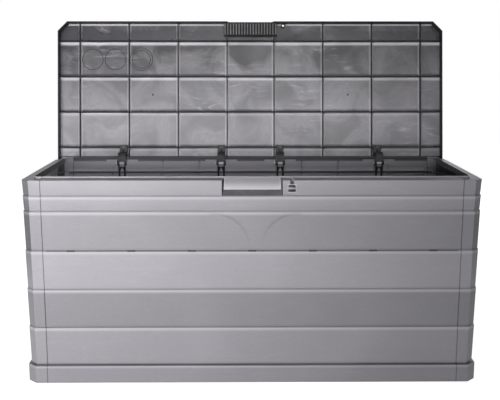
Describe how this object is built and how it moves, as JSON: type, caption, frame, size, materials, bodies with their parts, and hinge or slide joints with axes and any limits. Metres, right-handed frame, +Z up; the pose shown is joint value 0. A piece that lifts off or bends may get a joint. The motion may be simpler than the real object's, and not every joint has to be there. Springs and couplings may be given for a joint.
{
  "type": "deck storage box",
  "caption": "Long resin garden storage box moulded as stacked boards, with a ribbed hinged lid, finger recess and padlock catch.",
  "frame": {"origin": "on the ground, at the middle of the footprint, where two ribs of the tray cross", "axes": "+Z up, +X along the box to the right seen from the front, -Y out of the front"},
  "size_m": [1.198, 0.558, 0.9535],
  "materials": {
    "body_plastic": "grey-violet injection moulded resin, fine satin texture with soft gloss",
    "lid_plastic": "grey injection moulded resin, smooth and glossy inside with flow marks",
    "grip_plastic": "dark ribbed plastic",
    "hinge_plastic": "black moulded plastic",
    "steel": "zinc plated steel"
  },
  "bodies": {
    "box": {"base_tray": "body_plastic", "front_panel": "body_plastic", "rear_panel": "body_plastic", "left_side_panel": "body_plastic", "right_side_panel": "body_plastic", "hinge_bracket_1": "hinge_plastic", "hinge_bracket_2": "hinge_plastic", "hinge_bracket_3": "hinge_plastic", "hinge_bracket_4": "hinge_plastic", "hinge_pin_1": "steel", "hinge_pin_2": "steel", "hinge_pin_3": "steel", "hinge_pin_4": "steel", "bracket_screws": "steel"},
    "lid": {"lid_shell": "lid_plastic", "grip_insert": "grip_plastic", "hinge_arm_1": "hinge_plastic", "hinge_arm_2": "hinge_plastic", "hinge_arm_3": "hinge_plastic", "hinge_arm_4": "hinge_plastic", "arm_screws": "steel"}
  },
  "joints": [
    {"name": "lid_hinge", "type": "hinge", "parent": "box", "child": "lid", "pos_m": [0, 0.212, 0.527], "axis": [1, 0, 0], "range_deg": [0, 100]}
  ]
}
